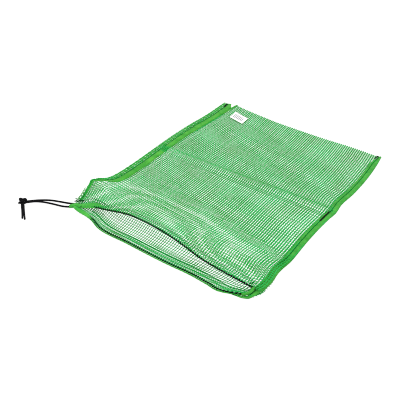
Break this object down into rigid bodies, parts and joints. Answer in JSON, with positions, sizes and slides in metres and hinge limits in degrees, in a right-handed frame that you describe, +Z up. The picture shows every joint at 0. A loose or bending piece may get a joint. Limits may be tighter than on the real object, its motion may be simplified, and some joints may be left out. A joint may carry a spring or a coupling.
{
  "type": "mesh laundry bag",
  "caption": "Flat rectangular mesh laundry bag of folded net with taped side seams and a hemmed mouth drawn by a knotted cord.",
  "frame": {"origin": "on the resting plane, under the middle of the lying bag", "axes": "+X across the bag away from the drawcord side, +Y from the mouth to the folded bottom, +Z up"},
  "size_m": [0.5668, 0.6911, 0.0423],
  "materials": {
    "net": "knitted polyester net, soft sheen",
    "tape": "woven binding tape",
    "seam_thread": "sewing thread",
    "tack_thread": "dark sewing thread",
    "cord": "braided cord",
    "label": "satin label tape"
  },
  "bodies": {
    "bag_bottom": {"net_bottom": "net", "tape_left_bottom": "tape", "tape_right_bottom": "tape", "thread_left_bottom": "seam_thread", "thread_right_bottom": "seam_thread", "tack_left_bottom": "tack_thread", "tack_right_bottom": "tack_thread", "label_stitches": "seam_thread"},
    "bag_mouth": {"net_back_mouth": "net", "net_front_mouth": "net", "tape_left_mouth": "tape", "tape_right_mouth": "tape", "thread_left_mouth": "seam_thread", "thread_right_mouth": "seam_thread", "back_hem_thread": "seam_thread", "corner_gather": "tape", "corner_gather_tack": "tack_thread", "corner_right_tack": "tack_thread", "cord_back_run": "cord", "cord_corner_turn": "cord"},
    "front_lip": {"net_front_lip": "net", "front_hem_thread": "seam_thread", "cord_front_run": "cord"},
    "cord_slider": {"cord_reserve": "cord"},
    "cord_loop": {"cord_strand_front": "cord", "cord_strand_back": "cord", "cord_knot": "cord"},
    "cord_tail": {"cord_tail_long": "cord", "cord_tail_short": "cord"},
    "label_flap": {"care_label": "label"}
  },
  "joints": [
    {"name": "crease_fold", "type": "hinge", "parent": "bag_bottom", "child": "bag_mouth", "pos_m": [0, -0.006, 0.0046], "axis": [-1, 0, 0], "range_deg": [0, 150]},
    {"name": "lip_open", "type": "hinge", "parent": "bag_mouth", "child": "front_lip", "pos_m": [0, -0.105, 0.0032], "axis": [-1, 0, 0], "range_deg": [0, 25]},
    {"name": "cord_pull", "type": "slide", "parent": "bag_mouth", "child": "cord_slider", "axis": [-0.8572, -0.515, 0], "range_m": [0, 0.042]},
    {"name": "cord_swing", "type": "hinge", "parent": "cord_slider", "child": "cord_loop", "pos_m": [-0.23714, -0.28809, 0.0032], "axis": [0, 0, 1], "range_deg": [-55, 45]},
    {"name": "tail_swing", "type": "hinge", "parent": "cord_loop", "child": "cord_tail", "pos_m": [-0.32243, -0.33934, 0.0039], "axis": [0, 0, 1], "range_deg": [-90, 20]},
    {"name": "label_flip", "type": "hinge", "parent": "bag_bottom", "child": "label_flap", "pos_m": [-0.1595, 0.279, 0.004], "axis": [-1, 0, 0], "range_deg": [0, 165]}
  ]
}
